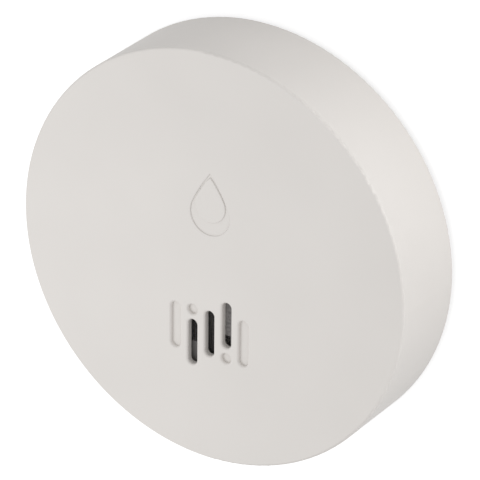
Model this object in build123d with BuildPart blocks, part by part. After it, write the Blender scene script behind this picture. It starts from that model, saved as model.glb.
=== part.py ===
from build123d import *
import os
from math import cos, hypot, radians, sin, sqrt

# A round flood sensor that lies on the floor, face up.
# X runs to the right of the face, Y towards the tip of the drop, Z up out of the face.
# The floor is at zero and the disc's axis is the Z axis. All sizes are in millimetres.

os.makedirs("parts", exist_ok=True)

# Battery cells, AAA size, side by side across the upper half
cell_diameter = 10.5
cell_length = 44.5
cell_nub_diameter = 3.8
cell_nub_height = 0.9
cell_edge_radius = 0.5
cell_gap = 0.6
cell_side_gap = 0.3
cell_roof_gap = 0.2

# Battery contacts and springs
contact_plate = 0.4
contact_width = 9.0
contact_height = 8.6
contact_bump_diameter = 3.2
contact_bump_height = 0.6
contact_tail_height = 2.0
contact_tail_reach = 1.6
contact_bridge_height = 0.8
contact_bridge_gap = 0.2
contact_mouth_gap = 0.55
contact_roof_gap = 0.15
contact_slot_gap = 0.2
battery_spring_length = 4.4
battery_spring_diameter = 6.4
battery_spring_wire = 0.6
battery_spring_turns = 3.5

# Battery holder, open towards the rear cover
holder_wall = 1.2
holder_corner_radius = 1.5
holder_edge_y = 0.2
holder_cover_gap = 0.6
holder_roof_gap = 1.6
holder_corner_gap = 1.6
holder_ear_reach = 3.2
holder_ear_radius = 2.8

# Front housing
face_wall = 1.3
side_wall = 2.2
lip_wall = 1.2
front_edge_radius = 0.4
rim_edge_radius = 0.3

# Rear cover and its seal
foot_height = 1.0
cover_wall = 2.0
cover_gap = 0.2
cover_edge_radius = 0.3
gasket_height = 0.6
gasket_gap = 0.1
spigot_wall = 1.2
spigot_height = 1.6
spigot_gap = 0.25
label_width = 30.0
label_height = 11.0
label_depth = 0.2
label_corner_radius = 1.5
label_button_gap = 2.0

# Cover screws and the bosses that take them
cover_screw_count = 3
cover_screw_start = 90.0
cover_screw_diameter = 2.6
cover_screw_length = 8.0
cover_screw_head_diameter = 4.6
cover_screw_head_height = 1.6
cover_screw_sink = 0.8
cover_screw_gap = 0.4
boss_diameter = 6.4
boss_rib_wall = 1.2
cup_height = 2.0
cup_wall = 1.1
cup_edge_gap = 0.4

# Mounting screws of the circuit board and the battery holder, and their posts
mount_screw_diameter = 2.0
mount_screw_length = 6.0
mount_screw_head_diameter = 3.8
mount_screw_head_height = 1.3
mount_screw_gap = 0.2
post_diameter = 5.0
post_wall_gap = 3.7
post_edge_distance = 2.9

# Screw details shared by both kinds
thread_gap = 0.05
pilot_spare = 1.0
screw_tip_chamfer = 0.4
screw_head_round = 0.5
cross_rim = 0.8
cross_width = 0.7
cross_depth = 0.9

# Grille, a little off the sounder's centre
grille_offset_x = 1.2
grille_offset_y = 1.2
slot_width = 1.9
slot_length = 9.0
slot_pitch = 3.6
dot_gap = 1.1
dot_overhang = 0.4
slot_edge_radius = 0.45
blind_depth = 0.65

# Drop outline: a shallow groove between an outer drop and an island
drop_depth = 0.2
drop_edge_radius = 0.16
drop_radius = 4.1
drop_center_y = 9.0
drop_tip_y = 16.9
drop_shoulder = 25.0
island_inset = 0.9
island_rise = 1.6
island_tip_gap = 0.7

# Alarm sounder with its mesh and foam gasket
buzzer_guide_gap = 0.775
buzzer_post_gap = 1.6
buzzer_diameter = 23.0
buzzer_height = 6.8
buzzer_wall = 1.0
buzzer_floor = 1.0
buzzer_fit = 0.1
buzzer_ring_height = 1.4
buzzer_ledge = 0.9
buzzer_port_diameter = 9.0
buzzer_pin_diameter = 0.8
buzzer_pin_spacing = 10.0
buzzer_pin_reach = 1.0
plate_thickness = 0.2
ceramic_diameter = 13.0
ceramic_thickness = 0.2
mesh_thickness = 0.3
foam_thickness = 1.0
foam_inset = 0.5
foam_port_width = 10.0
foam_port_length = 12.5
foam_port_round = 1.5
foam_shoulder_x = 2.5
foam_shoulder_y = 1.25

# Circuit board, under the sounder
board_thickness = 1.2
board_wall_gap = 2.0
board_holder_gap = 1.2
board_boss_gap = 0.6
board_hole_gap = 0.1

# Parts on the circuit board
module_width = 12.0
module_length = 17.0
module_thickness = 0.8
module_edge_gap = 3.4
shield_width = 10.0
shield_length = 11.0
shield_height = 2.0
shield_wall = 0.2
shield_edge = 0.8
coil_size = 6.0
coil_height = 3.0
coil_corner_radius = 1.2
coil_gap = 3.8
coil_tail_gap = 0.6
capacitor_diameter = 6.3
capacitor_height = 5.4
capacitor_base_size = 6.6
capacitor_base_height = 0.8
capacitor_base_chamfer = 1.2
capacitor_gap = 2.8
chip_size = 5.0
chip_height = 0.9
chip_gap = 1.2
led_length = 2.0
led_width = 1.25
led_height = 0.8
led_edge_gap = 1.0
guide_diameter = 2.0
guide_fit = 0.1
guide_pocket_depth = 0.7

# Electrodes: studs through the cover, clamped by nuts, sprung against the board
probe_x = 14.0
probe_y = -25.0
probe_diameter = 2.5
probe_head_diameter = 6.0
probe_head_round = 0.5
probe_floor_gap = 0.2
probe_tip_reach = 1.0
probe_fit = 0.1
probe_seal_width = 1.2
probe_seal_height = 0.6
probe_nut_across = 5.0
probe_nut_height = 2.0
probe_spring_gap = 0.3
probe_spring_wire = 0.4
probe_spring_turns = 3.0

# Pairing button in the cover and the switch it presses
button_foot_gap = 0.7
button_diameter = 6.0
button_fit = 0.2
button_sink = 0.2
button_edge_radius = 0.4
button_flange_width = 1.2
button_flange_height = 0.8
button_flange_gap = 0.1
button_nub_diameter = 3.0
button_nub_height = 0.5
button_seal_width = 0.9
button_seal_height = 0.8
button_seal_fit = 0.1
switch_size = 6.0
switch_height = 2.5
switch_bore_depth = 1.6
plunger_diameter = 3.2
plunger_fit = 0.15
plunger_reach = 0.5
plunger_depth = 1.0

# Rubber feet
foot_count = 3
foot_start = 30.0
foot_diameter = 8.0
foot_inset = 3.6
foot_recess = 0.4
foot_edge_radius = 0.4
foot_fit = 0.1

# Radii that follow from the diameters
cell_radius = cell_diameter / 2
boss_radius = boss_diameter / 2
post_radius = post_diameter / 2
cup_radius = cover_screw_head_diameter / 2 + cover_screw_gap + cup_wall
cover_screw_radius = cover_screw_diameter / 2
mount_screw_radius = mount_screw_diameter / 2
buzzer_radius = buzzer_diameter / 2
foot_radius = foot_diameter / 2
probe_radius = probe_diameter / 2
button_radius = button_diameter / 2

# Battery compartment in plan
tub_length = cell_length + battery_spring_length + contact_bump_height + 2 * contact_plate
tub_width = 2 * cell_diameter + cell_gap + 2 * cell_side_gap
holder_length = tub_length + 2 * holder_wall
holder_width = tub_width + 2 * holder_wall
holder_y = holder_edge_y + holder_width / 2
cell_pitch = cell_diameter + cell_gap
cell_rows = (holder_y + cell_pitch / 2, holder_y - cell_pitch / 2)

# Line of the board's edge, the status light, the sounder and the grille down the middle
board_edge_y = holder_edge_y - board_holder_gap
led_y = board_edge_y - led_edge_gap - led_width / 2
buzzer_x = -grille_offset_x
buzzer_y = led_y - guide_diameter / 2 - buzzer_guide_gap - buzzer_radius
grille_y = buzzer_y + grille_offset_y

# Radii of the disc, large enough for the holder's corners and for a post below the sounder
cavity_radius = max(
    hypot(holder_length / 2, holder_edge_y + holder_width) + holder_corner_gap,
    buzzer_radius - buzzer_y + buzzer_post_gap + post_diameter + post_wall_gap,
)
body_radius = cavity_radius + side_wall
lip_radius = body_radius - lip_wall
cover_radius = lip_radius - cover_gap
spigot_radius = cavity_radius - spigot_gap
screw_circle_radius = cavity_radius - cup_edge_gap - cup_radius
foot_circle_radius = cover_radius - foot_inset - foot_radius
button_y = foot_radius + foot_fit + button_foot_gap + button_fit + button_radius - foot_circle_radius
label_y = button_y + button_radius + button_fit + label_button_gap + label_height / 2
boss_rib_length = body_radius - side_wall / 2 - screw_circle_radius
board_radius = cavity_radius - board_wall_gap

# Heights from the floor up; the holder is deep enough for the cells and for their contacts,
# and the face is high enough for the holder and for the button, the board and the sounder
rear_z = foot_height
cover_top_z = rear_z + cover_wall
ledge_z = cover_top_z + gasket_height
cell_z = cover_top_z + cell_roof_gap + cell_radius
holder_open_z = cover_top_z + holder_cover_gap
contact_low_z = holder_open_z + contact_mouth_gap
bridge_z = contact_low_z + contact_height + contact_bridge_gap
bridge_top_z = bridge_z + contact_bridge_height
holder_ceiling_z = max(cell_z + cell_radius + cell_roof_gap, bridge_top_z + contact_roof_gap)
holder_top_z = holder_ceiling_z + holder_wall
flange_z = cover_top_z + button_flange_gap
flange_top_z = flange_z + button_flange_height
button_stack = flange_top_z + button_nub_height + plunger_reach + switch_height
sounder_stack = board_thickness + buzzer_height + mesh_thickness + foam_thickness
ceiling_z = max(holder_top_z + holder_roof_gap, button_stack + sounder_stack)
face_z = ceiling_z + face_wall
body_height = face_z - rear_z
boss_foot_z = cover_top_z + cup_height
cover_screw_z = rear_z + cover_screw_sink
cover_seat_z = cover_screw_z + cover_screw_head_height
cover_screw_tip_z = cover_seat_z + cover_screw_length

# Heights that hang from the face: gasket, mesh, sounder, board
mesh_top_z = ceiling_z - foam_thickness
buzzer_top_z = mesh_top_z - mesh_thickness
board_top_z = buzzer_top_z - buzzer_height
board_z = board_top_z - board_thickness

# Places of the posts: three for the board, two for the battery holder
post_circle_radius = cavity_radius - post_wall_gap - post_radius
board_post_y = board_edge_y - post_edge_distance
board_post_x = sqrt(post_circle_radius**2 - board_post_y**2)
board_posts = [(board_post_x, board_post_y), (-board_post_x, board_post_y), (0, -post_circle_radius)]
holder_post_x = holder_length / 2 + holder_ear_reach
holder_posts = [(holder_post_x, holder_y), (-holder_post_x, holder_y)]
mount_points = board_posts + holder_posts

# Places along the battery cells
tub_end_x = tub_length / 2
plate_face_x = tub_end_x - contact_plate
cell_tip_x = plate_face_x - contact_bump_height
cell_shoulder_x = cell_tip_x - cell_nub_height
cell_tail_x = cell_tip_x - cell_length

# Places of the parts round the sounder; the coil and the chip stand clear of the contact tails
buzzer_pins_at = [(buzzer_x + side * buzzer_pin_spacing / 2, buzzer_y) for side in (-1, 1)]
module_boss_angle = cover_screw_start - 360 / cover_screw_count
boss_edge_x = screw_circle_radius * cos(radians(module_boss_angle)) - boss_radius
module_x = (buzzer_x + buzzer_radius + boss_edge_x) / 2
module_y = board_edge_y - module_edge_gap - module_length / 2
shield_y = module_y - module_length / 2 + shield_edge + shield_length / 2
positive_tail_y = board_edge_y - contact_tail_reach
negative_tail_y = positive_tail_y - 2 * contact_tail_reach
coil_x = buzzer_x - buzzer_radius - coil_gap - coil_size / 2
coil_y = negative_tail_y - coil_tail_gap - coil_size / 2
capacitor_y = coil_y - coil_size / 2 - capacitor_gap - capacitor_base_size / 2
chip_x = coil_x - coil_size / 2 - chip_gap - chip_size / 2
led_top_z = board_top_z + led_height
guide_top_z = ceiling_z + guide_pocket_depth

# The gasket's solid corner, the drop's island, and the grille's columns:
# slots through the wall, shallow slots and shallow dots
shoulder_width = foam_port_width / 2 - foam_shoulder_x
shoulder_length = foam_port_length / 2 - foam_shoulder_y
island_radius = drop_radius - island_inset
slot_shift = slot_width + dot_gap - dot_overhang
dot_shift = slot_length / 2 - slot_width / 2 + dot_overhang
through_slots = [
    (-slot_pitch, grille_y - slot_shift),
    (0, grille_y),
    (slot_pitch, grille_y + slot_shift),
]
blind_slots = [(-2 * slot_pitch, grille_y), (2 * slot_pitch, grille_y)]
blind_dots = [(-slot_pitch, grille_y + dot_shift), (slot_pitch, grille_y - dot_shift)]


def drop_outline(radius, center_y, tip_y):
    """Draw a drop: a round bottom with two gently bulged sides that meet in a tip."""
    shoulder_x = radius * cos(radians(drop_shoulder))
    shoulder_y = center_y + radius * sin(radians(drop_shoulder))
    lean = (sin(radians(drop_shoulder)), cos(radians(drop_shoulder)))
    bottom = ThreePointArc((-shoulder_x, shoulder_y), (0, center_y - radius), (shoulder_x, shoulder_y))
    TangentArc(bottom @ 1, (0, tip_y), tangent=(-lean[0], lean[1]))
    TangentArc(bottom @ 0, (0, tip_y), tangent=lean)


# Front housing: face, side wall, bosses and posts in one moulding
with BuildPart() as front_housing:
    with BuildSketch(Plane.XY.offset(rear_z)):
        Circle(body_radius)
    extrude(amount=body_height)
    fillet(front_housing.edges().group_by(Axis.Z)[-1], front_edge_radius)
    fillet(front_housing.edges().group_by(Axis.Z)[0], rim_edge_radius)
    with BuildSketch(Plane.XY.offset(rear_z)):
        Circle(lip_radius)
    extrude(amount=ledge_z - rear_z, mode=Mode.SUBTRACT)
    with BuildSketch(Plane.XY.offset(ledge_z)):
        Circle(cavity_radius)
    extrude(amount=ceiling_z - ledge_z, mode=Mode.SUBTRACT)
    with BuildSketch(Plane.XY.offset(boss_foot_z)):
        with PolarLocations(screw_circle_radius, cover_screw_count, cover_screw_start):
            Circle(boss_radius)
            Rectangle(boss_rib_length, boss_rib_wall, align=(Align.MIN, Align.CENTER))
    extrude(amount=ceiling_z - boss_foot_z)
    with BuildSketch(Plane.XY.offset(board_top_z)):
        with Locations(*mount_points):
            Circle(post_radius)
    extrude(amount=ceiling_z - board_top_z)
    with BuildSketch(Plane.XY.offset(boss_foot_z)):
        with PolarLocations(screw_circle_radius, cover_screw_count, cover_screw_start):
            Circle(cover_screw_radius + thread_gap)
    extrude(amount=cover_screw_tip_z + pilot_spare - boss_foot_z, mode=Mode.SUBTRACT)
    with BuildSketch(Plane.XY.offset(board_top_z)):
        with Locations(*mount_points):
            Circle(mount_screw_radius + thread_gap)
    extrude(amount=mount_screw_length - board_thickness + pilot_spare, mode=Mode.SUBTRACT)
    with BuildSketch(Plane.XY.offset(ceiling_z)):
        with Locations((0, led_y)):
            Circle(guide_diameter / 2 + guide_fit)
    extrude(amount=guide_pocket_depth, mode=Mode.SUBTRACT)
    with BuildSketch(Plane.XY.offset(ceiling_z)):
        with Locations(*through_slots):
            SlotOverall(slot_length, slot_width, rotation=90)
    extrude(amount=face_wall, mode=Mode.SUBTRACT)
    with BuildSketch(Plane.XY.offset(face_z - blind_depth)):
        with Locations(*blind_slots):
            SlotOverall(slot_length, slot_width, rotation=90)
        with Locations(*blind_dots):
            Circle(slot_width / 2)
    extrude(amount=blind_depth, mode=Mode.SUBTRACT)
    grille_edges = front_housing.edges().group_by(Axis.Z)[-1].filter_by(
        lambda edge: abs(edge.center().Y - grille_y) < slot_length
    )
    fillet(grille_edges, slot_edge_radius)
    with BuildSketch(Plane.XY.offset(face_z - drop_depth)):
        with BuildLine():
            drop_outline(drop_radius, drop_center_y, drop_tip_y)
        make_face()
        with BuildLine():
            drop_outline(island_radius, drop_center_y + island_rise, drop_tip_y - island_tip_gap)
        make_face(mode=Mode.SUBTRACT)
    extrude(amount=drop_depth, mode=Mode.SUBTRACT)
    drop_edges = front_housing.edges().group_by(Axis.Z)[-1].filter_by(
        lambda edge: abs(edge.center().Y - drop_center_y) < 2 * drop_radius
    )
    fillet(drop_edges, drop_edge_radius)
front_housing.part.label = "front_housing"
export_step(front_housing.part, "parts/front_housing.step")

# Rear cover: a plate with a locating spigot, screw cups and seats for feet, electrodes and button
with BuildPart() as rear_cover:
    with BuildSketch(Plane.XY.offset(rear_z)):
        Circle(cover_radius)
    extrude(amount=cover_wall)
    fillet(rear_cover.edges().group_by(Axis.Z)[0], cover_edge_radius)
    with BuildSketch(Plane.XY.offset(cover_top_z)):
        Circle(spigot_radius)
        Circle(spigot_radius - spigot_wall, mode=Mode.SUBTRACT)
    extrude(amount=spigot_height)
    with BuildSketch(Plane.XY.offset(cover_top_z)):
        with PolarLocations(screw_circle_radius, cover_screw_count, cover_screw_start):
            Circle(cup_radius)
    extrude(amount=cup_height)
    with BuildSketch(Plane.XY.offset(rear_z)):
        with PolarLocations(screw_circle_radius, cover_screw_count, cover_screw_start):
            Circle(cover_screw_head_diameter / 2 + cover_screw_gap)
    extrude(amount=cover_seat_z - rear_z, mode=Mode.SUBTRACT)
    with BuildSketch(Plane.XY.offset(rear_z)):
        with PolarLocations(screw_circle_radius, cover_screw_count, cover_screw_start):
            Circle(cover_screw_radius + cover_screw_gap)
    extrude(amount=boss_foot_z - rear_z, mode=Mode.SUBTRACT)
    with BuildSketch(Plane.XY.offset(rear_z)):
        with PolarLocations(foot_circle_radius, foot_count, foot_start):
            Circle(foot_radius + foot_fit)
    extrude(amount=foot_recess, mode=Mode.SUBTRACT)
    with BuildSketch(Plane.XY.offset(rear_z)):
        with Locations((-probe_x, probe_y), (probe_x, probe_y)):
            Circle(probe_radius + probe_fit + probe_seal_width)
    extrude(amount=probe_seal_height, mode=Mode.SUBTRACT)
    with BuildSketch(Plane.XY.offset(rear_z)):
        with Locations((-probe_x, probe_y), (probe_x, probe_y)):
            Circle(probe_radius + probe_fit)
        with Locations((0, button_y)):
            Circle(button_radius + button_fit)
    extrude(amount=cover_wall, mode=Mode.SUBTRACT)
    with BuildSketch(Plane.XY.offset(cover_top_z - button_seal_height)):
        with Locations((0, button_y)):
            Circle(button_radius + button_seal_fit + button_seal_width)
    extrude(amount=button_seal_height, mode=Mode.SUBTRACT)
    with BuildSketch(Plane.XY.offset(rear_z)):
        with Locations((0, label_y)):
            RectangleRounded(label_width, label_height, label_corner_radius)
    extrude(amount=label_depth, mode=Mode.SUBTRACT)
rear_cover.part.label = "rear_cover"
export_step(rear_cover.part, "parts/rear_cover.step")

# Cover gasket: a flat ring between the cover's rim and the housing's ledge
with BuildPart() as cover_gasket:
    with BuildSketch(Plane.XY.offset(cover_top_z)):
        Circle(cover_radius)
        Circle(cavity_radius + gasket_gap, mode=Mode.SUBTRACT)
    extrude(amount=gasket_height)
cover_gasket.part.label = "cover_gasket"
export_step(cover_gasket.part, "parts/cover_gasket.step")

# Cover screws: pan heads sunk in the cover, threads in the housing's bosses
with BuildPart() as cover_screws:
    with BuildSketch(Plane.XY.offset(cover_screw_z)):
        with PolarLocations(screw_circle_radius, cover_screw_count, cover_screw_start):
            Circle(cover_screw_head_diameter / 2)
    extrude(amount=cover_screw_head_height)
    fillet(cover_screws.edges().group_by(Axis.Z)[0], screw_head_round)
    with BuildSketch(Plane.XY.offset(cover_seat_z)):
        with PolarLocations(screw_circle_radius, cover_screw_count, cover_screw_start):
            Circle(cover_screw_radius)
    extrude(amount=cover_screw_length)
    chamfer(cover_screws.edges().group_by(Axis.Z)[-1], screw_tip_chamfer)
    with BuildSketch(Plane.XY.offset(cover_screw_z)):
        with PolarLocations(screw_circle_radius, cover_screw_count, cover_screw_start):
            Rectangle(cover_screw_head_diameter - 2 * cross_rim, cross_width)
            Rectangle(cross_width, cover_screw_head_diameter - 2 * cross_rim)
    extrude(amount=cross_depth, mode=Mode.SUBTRACT)
cover_screws.part.label = "cover_screws"
export_step(cover_screws.part, "parts/cover_screws.step")

# Rubber feet: discs seated in shallow recesses of the cover
with PolarLocations(foot_circle_radius, foot_count, foot_start) as foot_places:
    foot_points = [place.position for place in foot_places.locations]
for number, point in enumerate(foot_points, 1):
    with BuildPart() as rubber_foot:
        with BuildSketch():
            with Locations((point.X, point.Y)):
                Circle(foot_radius)
        extrude(amount=foot_height + foot_recess)
        fillet(rubber_foot.edges().group_by(Axis.Z)[0], foot_edge_radius)
    rubber_foot.part.label = f"rubber_foot_{number}"
    export_step(rubber_foot.part, f"parts/rubber_foot_{number}.step")

# Electrodes: stud, seal, nut and contact spring on each side
nut_top_z = cover_top_z + probe_nut_height
for number, side in enumerate((-1, 1), 1):
    probe_point = (side * probe_x, probe_y)
    with BuildPart() as probe_stud:
        with BuildSketch(Plane.XY.offset(probe_floor_gap)):
            with Locations(probe_point):
                Circle(probe_head_diameter / 2)
        extrude(amount=rear_z - probe_floor_gap)
        fillet(probe_stud.edges().group_by(Axis.Z)[0], probe_head_round)
        with BuildSketch(Plane.XY.offset(rear_z)):
            with Locations(probe_point):
                Circle(probe_radius)
        extrude(amount=nut_top_z + probe_tip_reach - rear_z)
    probe_stud.part.label = f"probe_stud_{number}"
    export_step(probe_stud.part, f"parts/probe_stud_{number}.step")

    with BuildPart() as probe_seal:
        with BuildSketch(Plane.XY.offset(rear_z)):
            with Locations(probe_point):
                Circle(probe_radius + probe_seal_width)
                Circle(probe_radius + probe_fit, mode=Mode.SUBTRACT)
        extrude(amount=probe_seal_height)
    probe_seal.part.label = f"probe_seal_{number}"
    export_step(probe_seal.part, f"parts/probe_seal_{number}.step")

    with BuildPart() as probe_nut:
        with BuildSketch(Plane.XY.offset(cover_top_z)):
            with Locations(probe_point):
                RegularPolygon(probe_nut_across / 2, 6, major_radius=False)
                Circle(probe_radius + thread_gap, mode=Mode.SUBTRACT)
        extrude(amount=probe_nut_height)
    probe_nut.part.label = f"probe_nut_{number}"
    export_step(probe_nut.part, f"parts/probe_nut_{number}.step")

    probe_spring_height = board_z - nut_top_z - probe_spring_wire
    with BuildPart() as probe_spring:
        with BuildLine() as probe_coil:
            Helix(
                probe_spring_height / probe_spring_turns,
                probe_spring_height,
                probe_radius + probe_spring_gap + probe_spring_wire / 2,
                center=(side * probe_x, probe_y, nut_top_z + probe_spring_wire / 2),
            )
        with BuildSketch(Plane(origin=probe_coil.line @ 0, z_dir=probe_coil.line % 0)):
            Circle(probe_spring_wire / 2)
        sweep(path=probe_coil.line, is_frenet=True)
    probe_spring.part.label = f"probe_spring_{number}"
    export_step(probe_spring.part, f"parts/probe_spring_{number}.step")

# Circuit board: the lower segment of the disc, notched round the bosses
with BuildPart() as circuit_board:
    with BuildSketch(Plane.XY.offset(board_z)):
        Circle(board_radius)
        with Locations((0, board_edge_y)):
            Rectangle(
                2 * board_radius, 2 * board_radius, align=(Align.CENTER, Align.MIN), mode=Mode.SUBTRACT
            )
        with PolarLocations(screw_circle_radius, cover_screw_count, cover_screw_start):
            Circle(boss_radius + board_boss_gap, mode=Mode.SUBTRACT)
        with Locations(*board_posts):
            Circle(mount_screw_radius + mount_screw_gap, mode=Mode.SUBTRACT)
        with Locations(*buzzer_pins_at):
            Circle(buzzer_pin_diameter / 2 + board_hole_gap, mode=Mode.SUBTRACT)
    extrude(amount=board_thickness)
circuit_board.part.label = "circuit_board"
export_step(circuit_board.part, "parts/circuit_board.step")

# Mounting screws: heads under the board and the holder's ears, threads in the posts
with BuildPart() as mounting_screws:
    with BuildSketch(Plane.XY.offset(board_z - mount_screw_head_height)):
        with Locations(*mount_points):
            Circle(mount_screw_head_diameter / 2)
    extrude(amount=mount_screw_head_height)
    fillet(mounting_screws.edges().group_by(Axis.Z)[0], screw_head_round)
    with BuildSketch(Plane.XY.offset(board_z)):
        with Locations(*mount_points):
            Circle(mount_screw_radius)
    extrude(amount=mount_screw_length)
    chamfer(mounting_screws.edges().group_by(Axis.Z)[-1], screw_tip_chamfer)
    with BuildSketch(Plane.XY.offset(board_z - mount_screw_head_height)):
        with Locations(*mount_points):
            Rectangle(mount_screw_head_diameter - 2 * cross_rim, cross_width)
            Rectangle(cross_width, mount_screw_head_diameter - 2 * cross_rim)
    extrude(amount=cross_depth, mode=Mode.SUBTRACT)
mounting_screws.part.label = "mounting_screws"
export_step(mounting_screws.part, "parts/mounting_screws.step")

# Wireless module and the formed can over its radio
with BuildPart() as wireless_module:
    with BuildSketch(Plane.XY.offset(board_top_z)):
        with Locations((module_x, module_y)):
            Rectangle(module_width, module_length)
    extrude(amount=module_thickness)
wireless_module.part.label = "wireless_module"
export_step(wireless_module.part, "parts/wireless_module.step")

module_top_z = board_top_z + module_thickness
with BuildPart() as module_shield:
    with BuildSketch(Plane.XY.offset(module_top_z)):
        with Locations((module_x, shield_y)):
            Rectangle(shield_width, shield_length)
    extrude(amount=shield_height)
    with BuildSketch(Plane.XY.offset(module_top_z)):
        with Locations((module_x, shield_y)):
            Rectangle(shield_width - 2 * shield_wall, shield_length - 2 * shield_wall)
    extrude(amount=shield_height - shield_wall, mode=Mode.SUBTRACT)
module_shield.part.label = "module_shield"
export_step(module_shield.part, "parts/module_shield.step")

# Controller chip
with BuildPart() as controller_chip:
    with BuildSketch(Plane.XY.offset(board_top_z)):
        with Locations((chip_x, coil_y)):
            Rectangle(chip_size, chip_size)
    extrude(amount=chip_height)
controller_chip.part.label = "controller_chip"
export_step(controller_chip.part, "parts/controller_chip.step")

# Step-up coil that raises the voltage for the sounder
with BuildPart() as step_up_coil:
    with BuildSketch(Plane.XY.offset(board_top_z)):
        with Locations((coil_x, coil_y)):
            RectangleRounded(coil_size, coil_size, coil_corner_radius)
    extrude(amount=coil_height)
step_up_coil.part.label = "step_up_coil"
export_step(step_up_coil.part, "parts/step_up_coil.step")

# Reservoir capacitor: a can on a chamfered base
with BuildPart() as reservoir_capacitor:
    with BuildSketch(Plane.XY.offset(board_top_z)):
        with Locations((coil_x, capacitor_y)):
            base_outline = Rectangle(capacitor_base_size, capacitor_base_size)
        chamfer(base_outline.vertices().group_by(Axis.Y)[0], capacitor_base_chamfer)
    extrude(amount=capacitor_base_height)
    with BuildSketch(Plane.XY.offset(board_top_z)):
        with Locations((coil_x, capacitor_y)):
            Circle(capacitor_diameter / 2)
    extrude(amount=capacitor_height)
reservoir_capacitor.part.label = "reservoir_capacitor"
export_step(reservoir_capacitor.part, "parts/reservoir_capacitor.step")

# Status light and the clear rod that leads its light to the face
with BuildPart() as status_led:
    with BuildSketch(Plane.XY.offset(board_top_z)):
        with Locations((0, led_y)):
            Rectangle(led_length, led_width)
    extrude(amount=led_height)
status_led.part.label = "status_led"
export_step(status_led.part, "parts/status_led.step")

with BuildPart() as light_guide:
    with BuildSketch(Plane.XY.offset(led_top_z)):
        with Locations((0, led_y)):
            Circle(guide_diameter / 2)
    extrude(amount=guide_top_z - led_top_z)
light_guide.part.label = "light_guide"
export_step(light_guide.part, "parts/light_guide.step")

# Sounder: base with a clamping ring, case with a sound port, brass plate and its ceramic
buzzer_floor_z = board_top_z + buzzer_floor
plate_z = buzzer_floor_z + buzzer_ring_height
plate_top_z = plate_z + plate_thickness
plate_radius = buzzer_radius - buzzer_wall - buzzer_fit
with BuildPart() as buzzer_base:
    with BuildSketch(Plane.XY.offset(board_top_z)):
        with Locations((buzzer_x, buzzer_y)):
            Circle(buzzer_radius)
    extrude(amount=buzzer_floor)
    with BuildSketch(Plane.XY.offset(buzzer_floor_z)):
        with Locations((buzzer_x, buzzer_y)):
            Circle(plate_radius)
            Circle(plate_radius - buzzer_ledge, mode=Mode.SUBTRACT)
    extrude(amount=buzzer_ring_height)
buzzer_base.part.label = "buzzer_base"
export_step(buzzer_base.part, "parts/buzzer_base.step")

with BuildPart() as buzzer_case:
    with BuildSketch(Plane.XY.offset(buzzer_floor_z)):
        with Locations((buzzer_x, buzzer_y)):
            Circle(buzzer_radius)
    extrude(amount=buzzer_top_z - buzzer_floor_z)
    with BuildSketch(Plane.XY.offset(buzzer_floor_z)):
        with Locations((buzzer_x, buzzer_y)):
            Circle(buzzer_radius - buzzer_wall)
    extrude(amount=plate_top_z - buzzer_floor_z, mode=Mode.SUBTRACT)
    with BuildSketch(Plane.XY.offset(plate_top_z)):
        with Locations((buzzer_x, buzzer_y)):
            Circle(buzzer_radius - buzzer_wall - buzzer_ledge)
    extrude(amount=buzzer_top_z - buzzer_wall - plate_top_z, mode=Mode.SUBTRACT)
    with BuildSketch(Plane.XY.offset(buzzer_top_z - buzzer_wall)):
        with Locations((buzzer_x, buzzer_y)):
            Circle(buzzer_port_diameter / 2)
    extrude(amount=buzzer_wall, mode=Mode.SUBTRACT)
buzzer_case.part.label = "buzzer_case"
export_step(buzzer_case.part, "parts/buzzer_case.step")

with BuildPart() as buzzer_plate:
    with BuildSketch(Plane.XY.offset(plate_z)):
        with Locations((buzzer_x, buzzer_y)):
            Circle(plate_radius)
    extrude(amount=plate_thickness)
buzzer_plate.part.label = "buzzer_plate"
export_step(buzzer_plate.part, "parts/buzzer_plate.step")

with BuildPart() as buzzer_ceramic:
    with BuildSketch(Plane.XY.offset(plate_top_z)):
        with Locations((buzzer_x, buzzer_y)):
            Circle(ceramic_diameter / 2)
    extrude(amount=ceramic_thickness)
buzzer_ceramic.part.label = "buzzer_ceramic"
export_step(buzzer_ceramic.part, "parts/buzzer_ceramic.step")

with BuildPart() as buzzer_pins:
    with BuildSketch(Plane.XY.offset(board_z - buzzer_pin_reach)):
        with Locations(*buzzer_pins_at):
            Circle(buzzer_pin_diameter / 2)
    extrude(amount=buzzer_pin_reach + board_thickness)
buzzer_pins.part.label = "buzzer_pins"
export_step(buzzer_pins.part, "parts/buzzer_pins.step")

# Splash mesh over the sounder's port and the foam gasket that seals it to the face
with BuildPart() as sound_mesh:
    with BuildSketch(Plane.XY.offset(buzzer_top_z)):
        with Locations((buzzer_x, buzzer_y)):
            Circle(buzzer_radius - foam_inset)
    extrude(amount=mesh_thickness)
sound_mesh.part.label = "sound_mesh"
export_step(sound_mesh.part, "parts/sound_mesh.step")

with BuildPart() as sound_gasket:
    with BuildSketch(Plane.XY.offset(mesh_top_z)):
        with Locations((buzzer_x, buzzer_y)):
            Circle(buzzer_radius - foam_inset)
            RectangleRounded(foam_port_width, foam_port_length, foam_port_round, mode=Mode.SUBTRACT)
        with Locations((buzzer_x + foam_shoulder_x, buzzer_y + foam_shoulder_y)):
            Rectangle(shoulder_width, shoulder_length, align=(Align.MIN, Align.MIN))
    extrude(amount=foam_thickness)
sound_gasket.part.label = "sound_gasket"
export_step(sound_gasket.part, "parts/sound_gasket.step")

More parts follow.
